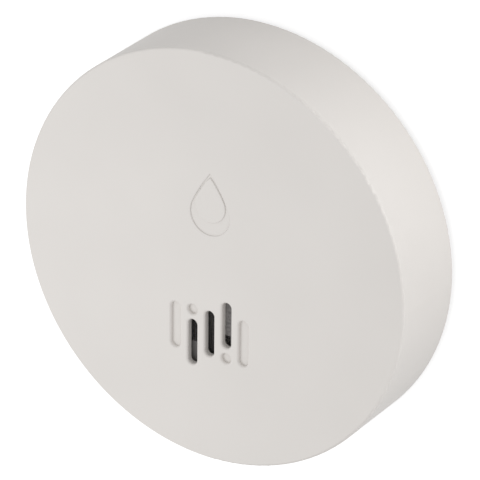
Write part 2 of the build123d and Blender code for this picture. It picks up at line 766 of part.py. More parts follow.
# Battery holder: a tub open towards the cover, with two ears and a slot for the contact tails
with BuildPart() as battery_holder:
    with BuildSketch(Plane.XY.offset(holder_open_z)):
        with Locations((0, holder_y)):
            RectangleRounded(holder_length, holder_width, holder_corner_radius)
    extrude(amount=holder_top_z - holder_open_z)
    with BuildSketch(Plane.XY.offset(board_z)):
        with Locations((0, holder_y)):
            SlotCenterToCenter(2 * holder_post_x, 2 * holder_ear_radius)
        with Locations(*holder_posts):
            Circle(mount_screw_radius + mount_screw_gap, mode=Mode.SUBTRACT)
    extrude(amount=board_thickness)
    with BuildSketch(Plane.XY.offset(holder_open_z)):
        with Locations((0, holder_y)):
            Rectangle(tub_length, tub_width)
    extrude(amount=holder_ceiling_z - holder_open_z, mode=Mode.SUBTRACT)
    with BuildSketch(Plane.XY.offset(board_top_z - contact_slot_gap)):
        with Locations((-tub_end_x, holder_edge_y)):
            Rectangle(contact_plate + contact_slot_gap, 2 * holder_wall, align=(Align.MIN, Align.CENTER))
    extrude(amount=holder_ceiling_z - board_top_z + contact_slot_gap, mode=Mode.SUBTRACT)
battery_holder.part.label = "battery_holder"
export_step(battery_holder.part, "parts/battery_holder.step")

# Battery cells: the upper one points right, the lower one points left
for number, (row_y, side) in enumerate(zip(cell_rows, (1, -1)), 1):
    with BuildPart() as battery_cell:
        with BuildSketch(Plane.YZ.offset(side * cell_tail_x)):
            with Locations((row_y, cell_z)):
                Circle(cell_radius)
        extrude(amount=side * (cell_shoulder_x - cell_tail_x))
        fillet(battery_cell.edges().filter_by(GeomType.CIRCLE), cell_edge_radius)
        with BuildSketch(Plane.YZ.offset(side * cell_shoulder_x)):
            with Locations((row_y, cell_z)):
                Circle(cell_nub_diameter / 2)
        extrude(amount=side * cell_nub_height)
    battery_cell.part.label = f"battery_cell_{number}"
    export_step(battery_cell.part, f"parts/battery_cell_{number}.step")

    # The spring behind each cell's flat end, on the opposite side to its tip
    coil_height_x = battery_spring_length - battery_spring_wire
    with BuildPart() as battery_spring:
        with BuildLine() as battery_coil:
            Helix(
                coil_height_x / battery_spring_turns,
                coil_height_x,
                (battery_spring_diameter - battery_spring_wire) / 2,
                center=(-side * (plate_face_x - battery_spring_wire / 2), row_y, cell_z),
                direction=(side, 0, 0),
            )
        with BuildSketch(Plane(origin=battery_coil.line @ 0, z_dir=battery_coil.line % 0)):
            Circle(battery_spring_wire / 2)
        sweep(path=battery_coil.line, is_frenet=True)
    battery_spring.part.label = f"battery_spring_{number}"
    export_step(battery_spring.part, f"parts/battery_spring_{number}.step")

# Series contact: one plate across both cells at the right-hand end
upper_row_y, lower_row_y = cell_rows
with BuildPart() as series_contact:
    with BuildSketch(Plane.YZ.offset(plate_face_x)):
        with Locations((holder_y, contact_low_z)):
            Rectangle(cell_pitch + contact_width, contact_height, align=(Align.CENTER, Align.MIN))
    extrude(amount=contact_plate)
    with BuildSketch(Plane.YZ.offset(cell_tip_x)):
        with Locations((upper_row_y, cell_z)):
            Circle(contact_bump_diameter / 2)
    extrude(amount=contact_bump_height)
series_contact.part.label = "series_contact"
export_step(series_contact.part, "parts/series_contact.step")

# Positive contact: plate at the left-hand end whose tail stands on the board
with BuildPart() as positive_contact:
    with BuildSketch(Plane.YZ.offset(-tub_end_x)):
        with Locations((lower_row_y, contact_low_z)):
            Rectangle(contact_width, contact_height, align=(Align.CENTER, Align.MIN))
        with Locations((positive_tail_y, board_top_z)):
            Rectangle(lower_row_y - positive_tail_y, contact_tail_height, align=Align.MIN)
    extrude(amount=contact_plate)
    with BuildSketch(Plane.YZ.offset(-plate_face_x)):
        with Locations((lower_row_y, cell_z)):
            Circle(contact_bump_diameter / 2)
    extrude(amount=contact_bump_height)
positive_contact.part.label = "positive_contact"
export_step(positive_contact.part, "parts/positive_contact.step")

# Negative contact: its tail bridges over the positive plate and comes down beyond it
with BuildPart() as negative_contact:
    with BuildSketch(Plane.YZ.offset(-tub_end_x)):
        with Locations((upper_row_y, contact_low_z)):
            Rectangle(contact_width, bridge_top_z - contact_low_z, align=(Align.CENTER, Align.MIN))
        with Locations((negative_tail_y, bridge_z)):
            Rectangle(upper_row_y - negative_tail_y, contact_bridge_height, align=Align.MIN)
        with Locations((negative_tail_y, board_top_z)):
            Rectangle(contact_tail_reach, bridge_top_z - board_top_z, align=Align.MIN)
    extrude(amount=contact_plate)
negative_contact.part.label = "negative_contact"
export_step(negative_contact.part, "parts/negative_contact.step")

# Pairing switch under the board: a body with a bore for its plunger
switch_z = board_z - switch_height
plunger_z = switch_z - plunger_reach
with BuildPart() as pairing_switch:
    with BuildSketch(Plane.XY.offset(switch_z)):
        with Locations((0, button_y)):
            Rectangle(switch_size, switch_size)
    extrude(amount=switch_height)
    with BuildSketch(Plane.XY.offset(switch_z)):
        with Locations((0, button_y)):
            Circle(plunger_diameter / 2 + plunger_fit)
    extrude(amount=switch_bore_depth, mode=Mode.SUBTRACT)
pairing_switch.part.label = "pairing_switch"
export_step(pairing_switch.part, "parts/pairing_switch.step")

with BuildPart() as switch_plunger:
    with BuildSketch(Plane.XY.offset(plunger_z)):
        with Locations((0, button_y)):
            Circle(plunger_diameter / 2)
    extrude(amount=plunger_reach + plunger_depth)
switch_plunger.part.label = "switch_plunger"
export_step(switch_plunger.part, "parts/switch_plunger.step")

# Pairing button: a stem in the cover, a flange that keeps it in and a nub on the plunger
with BuildPart() as pairing_button:
    with BuildSketch(Plane.XY.offset(rear_z + button_sink)):
        with Locations((0, button_y)):
            Circle(button_radius)
    extrude(amount=flange_z - rear_z - button_sink)
    fillet(pairing_button.edges().group_by(Axis.Z)[0], button_edge_radius)
    with BuildSketch(Plane.XY.offset(flange_z)):
        with Locations((0, button_y)):
            Circle(button_radius + button_flange_width)
    extrude(amount=button_flange_height)
    with BuildSketch(Plane.XY.offset(flange_top_z)):
        with Locations((0, button_y)):
            Circle(button_nub_diameter / 2)
    extrude(amount=plunger_z - flange_top_z)
pairing_button.part.label = "pairing_button"
export_step(pairing_button.part, "parts/pairing_button.step")

# Button seal: a ring round the stem, let into the inside of the cover
with BuildPart() as button_seal:
    with BuildSketch(Plane.XY.offset(cover_top_z - button_seal_height)):
        with Locations((0, button_y)):
            Circle(button_radius + button_seal_fit + button_seal_width)
            Circle(button_radius + button_seal_fit, mode=Mode.SUBTRACT)
    extrude(amount=button_seal_height)
button_seal.part.label = "button_seal"
export_step(button_seal.part, "parts/button_seal.step")
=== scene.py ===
"""Looks of a round white flood sensor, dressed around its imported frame.

The disc lies on the floor with its face up: X runs to the right of the face, Y towards the tip of
the drop mark and Z up. Sizes are written in millimetres and become metres where they are used.
"""

import logging
import math
from dataclasses import dataclass
from enum import Enum

import bpy
from mathutils import Matrix, Vector


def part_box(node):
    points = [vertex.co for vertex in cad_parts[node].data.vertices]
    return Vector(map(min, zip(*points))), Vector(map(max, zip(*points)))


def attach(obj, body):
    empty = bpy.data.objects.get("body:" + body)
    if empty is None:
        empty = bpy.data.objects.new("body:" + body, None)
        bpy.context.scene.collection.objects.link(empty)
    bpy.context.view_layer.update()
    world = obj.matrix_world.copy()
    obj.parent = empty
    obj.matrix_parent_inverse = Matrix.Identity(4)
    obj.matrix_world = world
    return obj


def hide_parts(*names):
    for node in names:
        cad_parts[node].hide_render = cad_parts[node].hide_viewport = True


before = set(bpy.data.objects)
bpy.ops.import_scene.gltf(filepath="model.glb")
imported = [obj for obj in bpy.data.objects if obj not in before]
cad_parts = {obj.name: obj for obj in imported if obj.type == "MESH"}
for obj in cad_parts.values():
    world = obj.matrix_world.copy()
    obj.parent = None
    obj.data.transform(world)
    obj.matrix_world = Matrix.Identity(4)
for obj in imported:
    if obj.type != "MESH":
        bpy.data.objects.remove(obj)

MM = 0.001
HOUSING_BODY = "housing"

# Places of the colour sockets on Blender's mix node, which shares their names with its other types
MIX_COLOR_A = 6
MIX_COLOR_B = 7
MIX_COLOR_OUT = 2

log = logging.getLogger("flood_sensor")

Triple = tuple[float, float, float]
Tree = bpy.types.NodeTree
Node = bpy.types.Node
Socket = bpy.types.NodeSocket
Sockets = tuple[Socket, Socket]
Inputs = dict[str | int, object]

# Layers of a noise, and how much of each next layer stays
CLOUDS = {"Detail": 2.0, "Roughness": 0.4}
STAINS = {"Detail": 2.0, "Roughness": 0.5}
RINGS = {"Detail": 2.0, "Roughness": 0.6}
GRAIN = {"Detail": 3.0, "Roughness": 0.6}

# A wave texture of scale one runs through a full turn over this length
WAVE_TURN = 2 * math.pi / 20

# A thread of the mesh is about a pixel wide, so a few sides and steps are enough
THREAD_SIDES = 4
STEPS_PER_PITCH = 2.0


def linear(code: str) -> tuple[float, float, float, float]:
    """Turn an sRGB hex colour into linear light.

    Args:
        code: Six hex digits.

    Returns:
        Red, green, blue and an alpha of one.
    """
    levels = [int(code[i : i + 2], 16) / 255 for i in (0, 2, 4)]
    # The standard sRGB curve: a straight foot, then a power.
    red, green, blue = (v / 12.92 if v <= 0.04045 else ((v + 0.055) / 1.055) ** 2.4 for v in levels)
    return red, green, blue, 1.0


def add_node(tree: Tree, kind: str, inputs: Inputs | None = None, **settings: object) -> Node:
    """Add a node, set its properties and fill its inputs.

    Args:
        tree: The node tree that gets the node.
        kind: The node's type name.
        inputs: Values or sockets by input name or number; a socket is linked, a value is set.
        **settings: The node's own properties.

    Returns:
        The new node.
    """
    node = tree.nodes.new(kind)
    for name, value in settings.items():
        setattr(node, name, value)
    for key, value in (inputs or {}).items():
        if isinstance(value, Socket):
            tree.links.new(value, node.inputs[key])
        else:
            node.inputs[key].default_value = value
    return node


def middle(node: str) -> Vector:
    """Give the centre of a CAD node's box, in metres."""
    low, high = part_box(node)
    return (low + high) / 2


def radius_from(tree: Tree, place: Socket, axis_mm: Triple, across: Triple) -> Socket:
    """Measure how far a point lies from an axis.

    Args:
        tree: The node tree.
        place: Object coordinates, in metres.
        axis_mm: A point on the axis.
        across: One for each direction that counts, zero for the axis's own.

    Returns:
        The distance, in metres.
    """
    point = [value * MM for value in axis_mm]
    shift = add_node(tree, "ShaderNodeVectorMath", {0: place, 1: point}, operation="SUBTRACT")
    flat = add_node(
        tree, "ShaderNodeVectorMath", {0: shift.outputs[0], 1: across}, operation="MULTIPLY"
    )
    away = add_node(tree, "ShaderNodeVectorMath", {0: flat.outputs[0]}, operation="LENGTH")
    return away.outputs["Value"]


@dataclass(frozen=True)
class Finish:
    """A surface: two close colours, a gloss, and a pattern drawn at its real size."""

    name: str
    color: str
    shade: str
    roughness: float
    ior: float = 1.5
    metallic: float = 0.0
    transmission: float = 0.0
    gloss_spread: float = 0.05
    relief_mm: float = 0.01

    def pattern(self, tree: Tree, shader: Node, place: Socket) -> Sockets:
        """Draw the pattern of the surface.

        Args:
            tree: The material's node tree.
            shader: The surface shader.
            place: Object coordinates, in metres.

        Returns:
            The tone, which blends the colour into the shade, and the height of the relief.
        """
        raise NotImplementedError

    def material(self) -> bpy.types.Material:
        """Make the finish's material, or give the one that is already made.

        Returns:
            The material.
        """
        made = bpy.data.materials.get(self.name)
        if made is not None:
            return made
        made = bpy.data.materials.new(self.name)
        made.use_nodes = True
        tree = made.node_tree
        tree.nodes.clear()
        shader = add_node(
            tree,
            "ShaderNodeBsdfPrincipled",
            {"IOR": self.ior, "Metallic": self.metallic, "Transmission Weight": self.transmission},
        )
        place = add_node(tree, "ShaderNodeTexCoord").outputs["Object"]
        tone, height = self.pattern(tree, shader, place)
        colors = {"Factor": tone, MIX_COLOR_A: linear(self.color), MIX_COLOR_B: linear(self.shade)}
        blend = add_node(tree, "ShaderNodeMix", colors, data_type="RGBA")
        low, high = self.roughness - self.gloss_spread, self.roughness + self.gloss_spread
        spread = {"Value": height, "To Min": low, "To Max": high}
        gloss = add_node(tree, "ShaderNodeMapRange", spread)
        bump = {"Height": height, "Distance": self.relief_mm * MM, "Strength": 1.0}
        relief = add_node(tree, "ShaderNodeBump", bump)
        tree.links.new(blend.outputs[MIX_COLOR_OUT], shader.inputs["Base Color"])
        tree.links.new(gloss.outputs["Result"], shader.inputs["Roughness"])
        tree.links.new(relief.outputs["Normal"], shader.inputs["Normal"])
        add_node(tree, "ShaderNodeOutputMaterial", {"Surface": shader.outputs["BSDF"]})
        return made


@dataclass(frozen=True)
class Grained(Finish):
    """A moulded or cast surface: cloudy tone from the melt's flow, and the grain of the tool."""

    cloud_mm: float = 18.0
    grain_mm: float = 0.22

    def pattern(self, tree: Tree, shader: Node, place: Socket) -> Sockets:
        """Draw soft clouds for the tone and fine noise for the grain.

        Args:
            tree: The material's node tree.
            shader: The surface shader, which is left as it is.
            place: Object coordinates, in metres.

        Returns:
            The clouds and the grain.
        """
        cloud = {"Vector": place, "Scale": 1 / (self.cloud_mm * MM), **CLOUDS}
        grain = {"Vector": place, "Scale": 1 / (self.grain_mm * MM), **GRAIN}
        tone = add_node(tree, "ShaderNodeTexNoise", cloud)
        height = add_node(tree, "ShaderNodeTexNoise", grain)
        return tone.outputs["Fac"], height.outputs["Fac"]


@dataclass(frozen=True)
class Foamed(Finish):
    """A cut sheet of foam: small closed cells whose hollows are darkened with painted shade.

    The rim, where a hollow and its painted shade start, and the pit, where the painted shade is
    darkest, are shares of a cell.
    """

    cell_mm: float = 0.5
    scatter: float = 0.9
    rim: float = 0.5
    pit: float = 0.1

    def pattern(self, tree: Tree, shader: Node, place: Socket) -> Sockets:
        """Draw the cells; their middles are hollow, with painted shade darkening them.

        Args:
            tree: The material's node tree.
            shader: The surface shader, which is left as it is.
            place: Object coordinates, in metres.

        Returns:
            The painted shade of the hollows, and the walls that rise round them.
        """
        cells = add_node(
            tree,
            "ShaderNodeTexVoronoi",
            {"Vector": place, "Scale": 1 / (self.cell_mm * MM), "Randomness": self.scatter},
            feature="SMOOTH_F1",
        )
        away = cells.outputs["Distance"]
        # Painted shade: the colour darkens from each cell's rim to its pit.
        pit_shade = {"Value": away, "From Min": self.rim, "From Max": self.pit}
        return add_node(tree, "ShaderNodeMapRange", pit_shade).outputs["Result"], away


class Marks(Enum):
    """How a metal surface was worked, which sets the run of its marks."""

    TURNED = "rings round a vertical axis"
    ROLLED = "long lines across the disc"
    DRAWN = "lines that run upwards"
    PLATED = "soft mottling with no direction"


@dataclass(frozen=True)
class Metal(Finish):
    """A bare or plated metal with the marks of its making."""

    metallic: float = 1.0
    marks: Marks = Marks.PLATED
    mark_mm: float = 0.15
    run_mm: float = 12.0
    stain_mm: float = 4.0
    axis_mm: Triple = (0.0, 0.0, 0.0)

    def pattern(self, tree: Tree, shader: Node, place: Socket) -> Sockets:
        """Draw the marks along their run.

        Args:
            tree: The material's node tree.
            shader: The surface shader, which is left as it is.
            place: Object coordinates, in metres.

        Returns:
            Faint stains, and the marks.
        """
        fine, run = 1 / (self.mark_mm * MM), 1 / (self.run_mm * MM)
        if self.marks is Marks.TURNED:
            away = radius_from(tree, place, self.axis_mm, (1.0, 1.0, 0.0))
            lines = {"W": away, "Scale": fine, **RINGS}
            height = add_node(tree, "ShaderNodeTexNoise", lines, noise_dimensions="1D")
        else:
            scale = {
                Marks.ROLLED: (run, fine, fine),
                Marks.DRAWN: (fine, fine, run),
                Marks.PLATED: (fine, fine, fine),
            }[self.marks]
            stretch = add_node(tree, "ShaderNodeMapping", {"Vector": place, "Scale": scale})
            lines = {"Vector": stretch.outputs["Vector"], "Scale": 1.0, **GRAIN}
            height = add_node(tree, "ShaderNodeTexNoise", lines)
        stain = {"Vector": place, "Scale": 1 / (self.stain_mm * MM), **STAINS}
        tone = add_node(tree, "ShaderNodeTexNoise", stain)
        return tone.outputs["Fac"], height.outputs["Fac"]


@dataclass(frozen=True)
class Laminate(Finish):
    """Solder mask over copper on glass cloth: rows of filled vias, and a trace of the weave."""

    ior: float = 1.55
    via_pitch_mm: float = 2.54
    via_mm: float = 0.6
    cloth_mm: float = 0.5

    def pattern(self, tree: Tree, shader: Node, place: Socket) -> Sockets:
        """Draw the vias as darker dots and the crossing threads of the glass cloth.

        Args:
            tree: The material's node tree.
            shader: The surface shader, which is left as it is.
            place: Object coordinates, in metres.

        Returns:
            The vias and the cloth.
        """
        grid = {"Vector": place, "Scale": 1 / (self.via_pitch_mm * MM), "Randomness": 0.0}
        dots = add_node(tree, "ShaderNodeTexVoronoi", grid, voronoi_dimensions="2D")
        rim = self.via_mm / self.via_pitch_mm / 2
        edge = {"Value": dots.outputs["Distance"], "From Min": rim, "From Max": rim / 2}
        via = add_node(tree, "ShaderNodeMapRange", edge)
        lines = {"Vector": place, "Scale": WAVE_TURN / (self.cloth_mm * MM)}
        warp = add_node(tree, "ShaderNodeTexWave", lines, bands_direction="X")
        weft = add_node(tree, "ShaderNodeTexWave", lines, bands_direction="Y")
        threads = {0: warp.outputs["Fac"], 1: weft.outputs["Fac"]}
        cloth = add_node(tree, "ShaderNodeMath", threads, operation="MULTIPLY")
        return via.outputs["Result"], cloth.outputs[0]


@dataclass(frozen=True)
class Banded(Finish):
    """A round piece with a middle of another colour: a jacketed cell, or a light and its window."""

    axis_mm: Triple = (0.0, 0.0, 0.0)
    across: Triple = (1.0, 1.0, 0.0)
    middle_mm: float = 1.0
    soft_mm: float = 0.1
    grain_mm: float = 0.3
    middle_metallic: float = 0.0

    def pattern(self, tree: Tree, shader: Node, place: Socket) -> Sockets:
        """Draw the middle, metal or not, and a fine grain all over.

        Args:
            tree: The material's node tree.
            shader: The surface shader, which gets the metal of a metal middle.
            place: Object coordinates, in metres.

        Returns:
            The middle and the grain.
        """
        away = radius_from(tree, place, self.axis_mm, self.across)
        edge = {
            "Value": away,
            "From Min": (self.middle_mm + self.soft_mm) * MM,
            "From Max": self.middle_mm * MM,
        }
        inside = add_node(tree, "ShaderNodeMapRange", edge).outputs["Result"]
        if self.middle_metallic:
            bare = {"Value": inside, "To Max": self.middle_metallic}
            metal = add_node(tree, "ShaderNodeMapRange", bare)
            tree.links.new(metal.outputs["Result"], shader.inputs["Metallic"])
        grain = {"Vector": place, "Scale": 1 / (self.grain_mm * MM), **GRAIN}
        return inside, add_node(tree, "ShaderNodeTexNoise", grain).outputs["Fac"]


# Injection-moulded ABS from a spark-eroded tool: a soft even satin, slightly warm.
# The grain is drawn a little coarser than the tool's 0.1 mm, so that it shows.
HOUSING_ABS = Grained(
    "Warm white ABS, spark-eroded", "DCD8D4", "D6D2CE", 0.5, ior=1.53, relief_mm=0.004
)
# The same ABS from a coarser half of the tool: duller and faintly pebbled.
COVER_ABS = Grained(
    "Warm white ABS, coarse-eroded", "D9D5D1", "D1CDC9", 0.58, ior=1.53,
    grain_mm=0.4, relief_mm=0.009,
)
# Moulded in grey so that a finger finds it: the same satin as the housing.
BUTTON_ABS = Grained(
    "Mid grey ABS, spark-eroded", "A3A19E", "989693", 0.48, ior=1.53, relief_mm=0.005
)
# Moulded in a plain milled tool: dark, with a low sheen and hardly any grain.
HOLDER_ABS = Grained("Black ABS, plain-tooled", "262627", "2E2E2F", 0.42, ior=1.53, relief_mm=0.003)
# Glass-filled moulding of the sounder: a little greyer where the fibres come up.
SOUNDER_PBT = Grained(
    "Black PBT, glass-filled", "202021", "2D2D2E", 0.5, ior=1.57,
    cloud_mm=3.0, grain_mm=0.3, relief_mm=0.008,
)
# Pressed silicone: dark and dull, with a bloom that lightens it in patches.
SILICONE = Grained(
    "Black silicone, pressed", "222222", "303030", 0.62, ior=1.41,
    cloud_mm=4.0, grain_mm=0.15, relief_mm=0.01,
)
# Soft moulded rubber for the feet: matt, with dust held in its grain.
FOOT_TPE = Grained(
    "Grey elastomer, matt-moulded", "6B6A69", "7A7978", 0.78, ior=1.52,
    cloud_mm=2.5, grain_mm=0.2, relief_mm=0.02,
)
# Sliced foam sheet: many small cut cells, their hollows darkened with painted shade.
FOAM = Foamed("Grey closed-cell foam, sliced", "7B7877", "5D5B5A", 0.88, ior=1.45, relief_mm=0.06)
# Thin calendered tape round the mesh: smooth, grey, nearly matt.
TAPE = Grained(
    "Grey tape, calendered", "8D8B8A", "84817F", 0.6, ior=1.49, cloud_mm=6.0, grain_mm=0.1
)
# Drawn polyester thread: charcoal, with a thin line of light along it.
THREAD = Grained(
    "Charcoal polyester thread, drawn", "4A4949", "565555", 0.42, ior=1.57,
    cloud_mm=0.8, grain_mm=0.06, relief_mm=0.004,
)
# Tumbled and zinc plated: a cool bright grey, softly mottled.
ZINC_STEEL = Metal(
    "Zinc-plated steel, tumbled", "C3C5C9", "A8ADB6", 0.34, mark_mm=0.3, relief_mm=0.004
)
# Strip rolled, then nickel plated: bright, slightly yellow, with fine rolling lines.
NICKEL_STRIP = Metal(
    "Nickel-plated steel strip, rolled", "CBC6BB", "B6B0A4", 0.26,
    marks=Marks.ROLLED, relief_mm=0.003,
)
# Drawn wire with the same plating: the lines follow the coil, so they show as soft mottling.
NICKEL_WIRE = Metal(
    "Nickel-plated spring wire, drawn", "C6C1B7", "ACA69B", 0.24, mark_mm=0.12, relief_mm=0.003
)
# Tinned sheet folded into a can: a grey white with long rolling lines.
TINPLATE = Metal(
    "Tinned steel sheet, rolled", "CACBCC", "B5B7B9", 0.36, marks=Marks.ROLLED, relief_mm=0.003
)
# Deep-drawn can: fine upright lines on the wall, a pale clean metal.
CAN_ALUMINIUM = Metal(
    "Aluminium, deep-drawn", "D6D7D9", "C2C4C7", 0.3,
    marks=Marks.DRAWN, mark_mm=0.12, relief_mm=0.003,
)
# Hard-rolled disc: warm yellow with straight rolling lines.
BRASS_SHEET = Metal(
    "Brass sheet, hard-rolled", "D9B968", "C6A353", 0.3, marks=Marks.ROLLED, relief_mm=0.002
)
# Melted in the oven and set: a smooth bright bead.
SOLDER = Metal(
    "Tin solder, reflowed", "D0D1D1", "B9BBBC", 0.2, gloss_spread=0.04, mark_mm=0.4, relief_mm=0.006
)
# Copper with a thin gold flash: a pale even yellow.
GOLD_PAD = Metal(
    "Gold-flashed copper, etched", "E4C57F", "D3B069", 0.28, mark_mm=0.2, relief_mm=0.002
)
# Solder mask over copper on glass cloth: a deep green with rows of darker filled vias.
BOARD_MASK = Laminate(
    "Green solder mask on glass laminate", "1B6236", "0F4023", 0.36, relief_mm=0.006
)
# The same mask where it climbs over a track: a lighter green line.
TRACK_MASK = Grained(
    "Green solder mask over a track", "2C7E4A", "256F40", 0.32, ior=1.55, cloud_mm=2.0, grain_mm=0.1
)
# A finer laminate under a blue mask: darker, with smaller vias close together.
MODULE_MASK = Laminate(
    "Blue solder mask on glass laminate", "1A3058", "101F3C", 0.36,
    via_pitch_mm=1.27, via_mm=0.4, relief_mm=0.005,
)
# Moulded round the silicon with a mineral filler: nearly black, matt, finely speckled.
CHIP_EPOXY = Grained(
    "Black epoxy, mineral-filled", "1E1E1F", "2B2B2C", 0.6, ior=1.57,
    cloud_mm=0.25, grain_mm=0.08, relief_mm=0.006,
)
# Pressed and fired powder: dark grey, dry and slightly rough.
FERRITE = Grained(
    "Dark ferrite, fired", "3D3D3F", "303032", 0.7, ior=2.2,
    cloud_mm=0.6, grain_mm=0.1, relief_mm=0.015,
)
# Fired and silvered on top: a warm off-white disc with a low sheen.
PIEZO = Grained(
    "Piezo ceramic, fired", "DCD4C4", "CFC5B3", 0.42, ior=2.0,
    cloud_mm=2.0, grain_mm=0.08, relief_mm=0.004,
)
# Body of a chip resistor: glazed dark glass over ceramic.
CHIP_GLAZE = Grained(
    "Black glass glaze, fired", "26262A", "33333A", 0.28, ior=1.52, cloud_mm=0.5, grain_mm=0.1
)
# Extruded and polished rod: clear, with the faintest polishing marks.
ACRYLIC = Grained(
    "Clear acrylic, polished", "FCFDFD", "F4F7F8", 0.06, ior=1.49,
    transmission=1.0, gloss_spread=0.03, relief_mm=0.001,
)


def dress(finishes: dict[str, Finish]) -> None:
    """Give CAD nodes their finishes and report them.

    Args:
        finishes: The finish of each node, by the node's name.
    """
    for name, finish in finishes.items():
        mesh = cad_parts[name].data
        mesh.materials.clear()
        mesh.materials.append(finish.material())
        log.info("%s: %s", name, finish.name)


def new_tree(name: str, sizes: tuple[str, ...]) -> tuple[Tree, Node]:
    """Start a Geometry Nodes tree.

    Args:
        name: The tree's name.
        sizes: The names of its number inputs.

    Returns:
        The tree and its input node.
    """
    tree = bpy.data.node_groups.new(name, "GeometryNodeTree")
    tree.interface.new_socket("Geometry", in_out="INPUT", socket_type="NodeSocketGeometry")
    tree.interface.new_socket("Geometry", in_out="OUTPUT", socket_type="NodeSocketGeometry")
    for size in sizes:
        tree.interface.new_socket(size, in_out="INPUT", socket_type="NodeSocketFloat")
    return tree, add_node(tree, "NodeGroupInput")


def close_tree(tree: Tree, geometry: Socket, finish: Finish) -> None:
    """End a Geometry Nodes tree with real meshes and one material.

    Args:
        tree: The tree.
        geometry: What the tree has made.
        finish: The finish of all of it.
    """
    real = add_node(tree, "GeometryNodeRealizeInstances", {"Geometry": geometry})
    paint = {"Geometry": real.outputs[0], "Material": finish.material()}
    painted = add_node(tree, "GeometryNodeSetMaterial", paint)
    add_node(tree, "NodeGroupOutput", {0: painted.outputs[0]})


def grow(
    name: str,
    tree: Tree,
    sizes: dict[str, float],
    points: list[Vector],
    edges: list[tuple[int, int]] | None = None,
) -> bpy.types.Object:
    """Run a tree on points or lines and keep the result as a plain mesh that rides on the housing.

    Args:
        name: The piece's name.
        tree: The Geometry Nodes tree.
        sizes: Values of the tree's inputs by name, with lengths in metres.
        points: Where the tree puts its shapes, in metres.
        edges: Pairs of points joined by a line, if the tree follows lines.

    Returns:
        The finished piece.
    """
    seed = bpy.data.meshes.new(f"{name}_seed")
    seed.from_pydata(points, edges or [], [])
    piece = bpy.data.objects.new(name, seed)
    bpy.context.scene.collection.objects.link(piece)
    modifier = piece.modifiers.new("grow", "NODES")
    modifier.node_group = tree
    for item in tree.interface.items_tree:
        if item.in_out == "INPUT" and item.name in sizes:
            modifier[item.identifier] = sizes[item.name]
    grown = piece.evaluated_get(bpy.context.evaluated_depsgraph_get())
    mesh = bpy.data.meshes.new_from_object(grown)
    piece.modifiers.remove(modifier)
    piece.data = mesh
    mesh.name = name
    bpy.data.meshes.remove(seed)
    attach(piece, HOUSING_BODY)
    log.info("%s: %d faces", name, len(mesh.polygons))
    return piece


def stud_tree(finish: Finish) -> Tree:
    """Make a tree that stands a tapered stud on every point.

    Args:
        finish: The studs' finish.

    Returns:
        A tree with the stud's sides, length, width, height and taper as inputs.
    """
    names = ("Sides", "Length", "Width", "Height", "Taper")
    tree, given = new_tree(f"studs of {finish.name}", names)
    sides = given.outputs["Sides"]
    # The flat sides of the unit stud lie half a unit from its axis.
    corner = add_node(tree, "ShaderNodeMath", {0: math.pi, 1: sides}, operation="DIVIDE")
    inner = add_node(tree, "ShaderNodeMath", {0: corner.outputs[0]}, operation="COSINE")
    reach = add_node(tree, "ShaderNodeMath", {0: 0.5, 1: inner.outputs[0]}, operation="DIVIDE")
    narrowed = {0: reach.outputs[0], 1: given.outputs["Taper"]}
    top = add_node(tree, "ShaderNodeMath", narrowed, operation="MULTIPLY")
    unit = add_node(
        tree,
        "GeometryNodeMeshCone",
        {
            "Vertices": sides,
            "Radius Top": top.outputs[0],
            "Radius Bottom": reach.outputs[0],
            "Depth": 1.0,
        },
    )
    turn = add_node(tree, "ShaderNodeCombineXYZ", {"Z": corner.outputs[0]})
    square = add_node(
        tree,
        "GeometryNodeTransform",
        {"Geometry": unit.outputs["Mesh"], "Rotation": turn.outputs[0]},
    )
    size = add_node(
        tree,
        "ShaderNodeCombineXYZ",
        {"X": given.outputs["Length"], "Y": given.outputs["Width"], "Z": given.outputs["Height"]},
    )
    stud = add_node(
        tree, "GeometryNodeTransform", {"Geometry": square.outputs[0], "Scale": size.outputs[0]}
    )
    stood = add_node(
        tree,
        "GeometryNodeInstanceOnPoints",
        {"Points": given.outputs["Geometry"], "Instance": stud.outputs[0]},
    )
    close_tree(tree, stood.outputs[0], finish)
    return tree


def track_tree(finish: Finish) -> Tree:
    """Make a tree that runs a flat copper track along lines.

    Args:
        finish: The track's finish.

    Returns:
        A tree with the track's width and thickness as inputs.
    """
    tree, given = new_tree(f"tracks of {finish.name}", ("Width", "Thickness"))
    line = add_node(tree, "GeometryNodeMeshToCurve", {"Mesh": given.outputs["Geometry"]})
    section = add_node(
        tree,
        "GeometryNodeCurvePrimitiveQuadrilateral",
        {"Width": given.outputs["Width"], "Height": given.outputs["Thickness"]},
    )
    level = add_node(tree, "GeometryNodeSetCurveNormal", {"Curve": line.outputs[0]}, mode="Z_UP")
    track = add_node(
        tree,
        "GeometryNodeCurveToMesh",
        {"Curve": level.outputs[0], "Profile Curve": section.outputs[0], "Fill Caps": True},
    )
    close_tree(tree, track.outputs[0], finish)
    return tree


